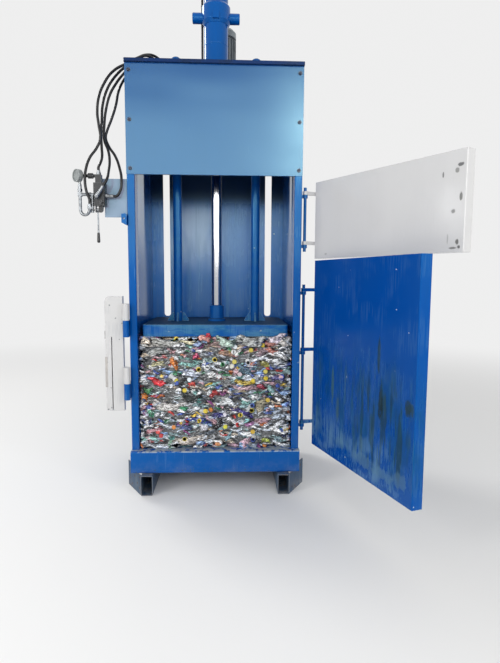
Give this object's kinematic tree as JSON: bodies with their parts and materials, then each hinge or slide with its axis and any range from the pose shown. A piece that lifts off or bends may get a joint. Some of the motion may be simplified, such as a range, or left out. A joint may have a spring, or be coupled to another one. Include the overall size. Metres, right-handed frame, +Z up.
{
  "type": "recycling baler",
  "caption": "Upright baling press with an open chamber, a hydraulic ram, swing-out doors on side hinges, a latch bar and a valve with hoses on its left post.",
  "frame": {"origin": "on the floor under the ram axis, half way between the post fronts and the back wall", "axes": "+Z up along the ram, +Y towards the back wall, +X to the hinge side of the doors"},
  "size_m": [2.181, 1.8207, 3.5363],
  "materials": {
    "blue_paint": "glossy blue paint, worn at the edges",
    "dark_blue_paint": "glossy dark blue paint",
    "dusty_blue": "dull blue paint with floor dust",
    "grey_white_paint": "satin grey-white paint",
    "bare_steel": "bare machined steel",
    "dark_steel": "dark oiled steel",
    "zinc_fittings": "zinc-plated steel",
    "chrome_rod": "polished hard chrome",
    "motor_grey": "grey-green machine paint",
    "gauge_grey": "dull grey casing",
    "hose_rubber": "black rubber",
    "pressed_plastic": "pressed clear and coloured plastic bottles",
    "black_plastic": "black moulded grip"
  },
  "bodies": {
    "frame": {"foot_left": "dusty_blue", "foot_right": "dusty_blue", "front_sill": "blue_paint", "rear_sill": "blue_paint", "side_rail_left": "blue_paint", "side_rail_right": "blue_paint", "floor_deck": "blue_paint", "post_front_left": "blue_paint", "post_front_right": "blue_paint", "post_rear_left": "blue_paint", "post_rear_right": "blue_paint", "side_wall_left": "blue_paint", "side_wall_right": "blue_paint", "back_wall": "blue_paint", "back_ribs": "blue_paint", "head_beams": "blue_paint", "top_plate": "dark_blue_paint", "cover_panel": "blue_paint", "cover_bolts": "dark_steel", "cylinder_tube": "blue_paint", "trunnion_collar": "blue_paint", "cylinder_cap": "blue_paint", "cylinder_gland": "bare_steel", "cylinder_flange": "blue_paint", "cylinder_pipe": "dark_steel", "guide_bushes": "bare_steel", "oil_tank": "blue_paint", "motor": "motor_grey", "motor_cowl": "motor_grey", "hinge_lugs": "blue_paint", "lower_hinge_rod": "blue_paint", "upper_hinge_rod": "blue_paint", "latch_lugs": "blue_paint", "latch_pins": "bare_steel", "door_keeper": "blue_paint", "valve_bracket": "blue_paint", "valve_block": "dark_steel", "hose_fittings": "zinc_fittings", "gauge": "gauge_grey", "hose_outer": "hose_rubber", "hose_second": "hose_rubber", "hose_third": "hose_rubber", "hose_inner": "hose_rubber", "bale": "pressed_plastic", "bale_edge": "pressed_plastic"},
    "ram": {"piston_rod": "chrome_rod", "piston": "bare_steel", "rod_boss": "blue_paint", "platen": "blue_paint", "platen_face": "blue_paint", "guide_left": "blue_paint", "guide_right": "blue_paint"},
    "lower_door": {"lower_door": "blue_paint", "lower_door_frame": "blue_paint"},
    "upper_door": {"upper_door": "grey_white_paint", "upper_door_frame": "grey_white_paint"},
    "latch": {"latch_bar": "grey_white_paint", "latch_handle": "bare_steel"},
    "lever": {"valve_lever": "zinc_fittings", "lever_grip": "black_plastic"}
  },
  "joints": [
    {"name": "ram_travel", "type": "slide", "parent": "frame", "child": "ram", "axis": [0, 0, 1], "range_m": [0, 1.02]},
    {"name": "lower_door_swing", "type": "hinge", "parent": "frame", "child": "lower_door", "pos_m": [0.59, -0.302, 0.9], "axis": [0, 0, 1], "range_deg": [-107.4, 72.6]},
    {"name": "upper_door_swing", "type": "hinge", "parent": "frame", "child": "upper_door", "pos_m": [0.59, -0.302, 1.82], "axis": [0, 0, 1], "range_deg": [-121, 59]},
    {"name": "latch_swing", "type": "hinge", "parent": "frame", "child": "latch", "pos_m": [-0.575, -0.407, 0.94], "axis": [0, 0, 1], "range_deg": [0, 180]},
    {"name": "valve_lever_tilt", "type": "hinge", "parent": "frame", "child": "lever", "pos_m": [-0.741, -0.382, 1.866], "axis": [1, 0, 0], "range_deg": [-18, 18], "stiffness_Nm_per_rad": 4}
  ]
}
